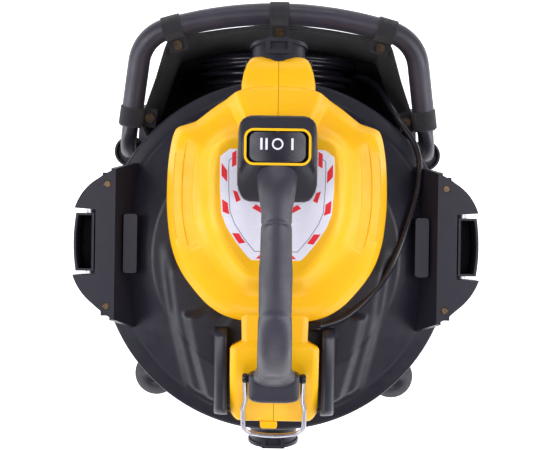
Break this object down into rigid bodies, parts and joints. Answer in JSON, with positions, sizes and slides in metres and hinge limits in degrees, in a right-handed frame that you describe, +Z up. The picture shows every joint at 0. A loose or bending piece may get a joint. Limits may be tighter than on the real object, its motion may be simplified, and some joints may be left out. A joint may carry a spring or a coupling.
{
  "type": "wheeled wet and dry vacuum cleaner",
  "caption": "Upright drum vacuum on a wheeled trolley: lift-off motor head with carry handle, front hose inlet, rear blower outlet, side latches, and a push handle holding a cord bag.",
  "frame": {"origin": "on the floor under the middle of the machine's box, without its free cord", "axes": "+Z up, +Y to the rear where the push handle is, +X to the side; the hose inlet faces -Y"},
  "size_m": [0.54, 0.6342, 0.9225],
  "materials": {
    "black_plastic": "satin",
    "yellow_plastic": "satin",
    "grey_plastic": "satin",
    "stainless": "brushed",
    "steel": "satin",
    "chrome": "polished",
    "black_tube": "satin",
    "rubber": "matte",
    "tyre": "matte",
    "fabric": "matte",
    "foam": "matte",
    "paper": "matte",
    "label": "gloss",
    "motor_metal": "satin",
    "rotor_metal": "satin"
  },
  "bodies": {
    "trolley": {"trolley_base": "black_plastic", "caster_caps": "black_plastic", "rear_axle": "steel", "axle_caps": "black_plastic", "handle_posts": "black_tube", "handle_collars": "black_plastic", "post_bolts": "steel", "push_handle_tube": "black_tube", "grip_sleeve": "rubber", "cord_bag": "fabric", "strap_loops": "fabric", "snap_buttons": "black_tube", "drum": "stainless", "drum_gaskets": "rubber", "inlet_port": "black_plastic", "inlet_deflector": "black_plastic", "latch_brackets": "steel", "latch_pins": "steel"},
    "caster_left": {"caster_fork_left": "steel", "caster_axle_left": "steel"},
    "caster_right": {"caster_fork_right": "steel", "caster_axle_right": "steel"},
    "caster_roller_left": {"caster_wheel_left": "rubber"},
    "caster_roller_right": {"caster_wheel_right": "rubber"},
    "wheel_left": {"rear_hub_left": "black_plastic", "rear_tyre_left": "tyre"},
    "wheel_right": {"rear_hub_right": "black_plastic", "rear_tyre_right": "tyre"},
    "latch_left": {"side_latch_left": "black_plastic"},
    "latch_right": {"side_latch_right": "black_plastic"},
    "head": {"head_base": "black_plastic", "side_wings": "black_plastic", "latch_keepers": "black_plastic", "wing_screws": "black_tube", "cover_left": "yellow_plastic", "cover_right": "yellow_plastic", "label_panel": "label", "handle_shell_left": "black_plastic", "handle_shell_right": "black_plastic", "switch_bezel": "yellow_plastic", "switch_block": "grey_plastic", "motor_plate": "grey_plastic", "motor_seals": "rubber", "motor_housings": "motor_metal", "exhaust_foam": "foam", "suction_manifold": "grey_plastic", "float_cage": "grey_plastic", "filter_cartridge": "paper", "filter_end_plate": "black_plastic", "blower_port": "black_plastic", "cord_gland": "rubber", "power_cord": "rubber", "cord_coil": "rubber", "cord_tail": "rubber", "power_plug": "rubber"},
    "rotor_left": {"motor_rotor_left": "rotor_metal"},
    "rotor_right": {"motor_rotor_right": "rotor_metal"},
    "rocker": {"rocker_switch": "black_plastic"},
    "bail": {"bail_wire": "chrome"},
    "float": {"float_ball": "grey_plastic"}
  },
  "joints": [
    {"name": "head_lift", "type": "slide", "parent": "trolley", "child": "head", "axis": [0, 0, 1], "range_m": [0, 0.3]},
    {"name": "latch_left_hinge", "type": "hinge", "parent": "trolley", "child": "latch_left", "pos_m": [-0.255, -0.0136, 0.676], "axis": [0, -1, 0], "range_deg": [0, 95]},
    {"name": "latch_right_hinge", "type": "hinge", "parent": "trolley", "child": "latch_right", "pos_m": [0.255, -0.0136, 0.676], "axis": [0, 1, 0], "range_deg": [0, 95]},
    {"name": "rocker_tilt", "type": "hinge", "parent": "head", "child": "rocker", "pos_m": [0, 0.1074, 0.893], "axis": [0, 1, 0], "range_deg": [-12, 12]},
    {"name": "bail_swing", "type": "hinge", "parent": "head", "child": "bail", "pos_m": [0, -0.1866, 0.793], "axis": [-1, 0, 0], "range_deg": [0, 120]},
    {"name": "float_rise", "type": "slide", "parent": "head", "child": "float", "axis": [0, 0, 1], "range_m": [0, 0.05]},
    {"name": "caster_left_swivel", "type": "hinge", "parent": "trolley", "child": "caster_left", "pos_m": [-0.207, -0.2516, 0.108], "axis": [0, 0, 1], "continuous": true},
    {"name": "caster_left_roll", "type": "hinge", "parent": "caster_left", "child": "caster_roller_left", "pos_m": [-0.207, -0.2236, 0.0375], "axis": [1, 0, 0], "continuous": true},
    {"name": "wheel_left_roll", "type": "hinge", "parent": "trolley", "child": "wheel_left", "pos_m": [-0.216, 0.1264, 0.09], "axis": [1, 0, 0], "continuous": true},
    {"name": "rotor_left_spin", "type": "hinge", "parent": "head", "child": "rotor_left", "pos_m": [-0.074, 0.0114, 0.764], "axis": [0, 0, 1], "continuous": true},
    {"name": "caster_right_swivel", "type": "hinge", "parent": "trolley", "child": "caster_right", "pos_m": [0.207, -0.2516, 0.108], "axis": [0, 0, 1], "continuous": true},
    {"name": "caster_right_roll", "type": "hinge", "parent": "caster_right", "child": "caster_roller_right", "pos_m": [0.207, -0.2236, 0.0375], "axis": [1, 0, 0], "continuous": true},
    {"name": "wheel_right_roll", "type": "hinge", "parent": "trolley", "child": "wheel_right", "pos_m": [0.216, 0.1264, 0.09], "axis": [1, 0, 0], "continuous": true},
    {"name": "rotor_right_spin", "type": "hinge", "parent": "head", "child": "rotor_right", "pos_m": [0.074, 0.0114, 0.764], "axis": [0, 0, 1], "continuous": true}
  ]
}
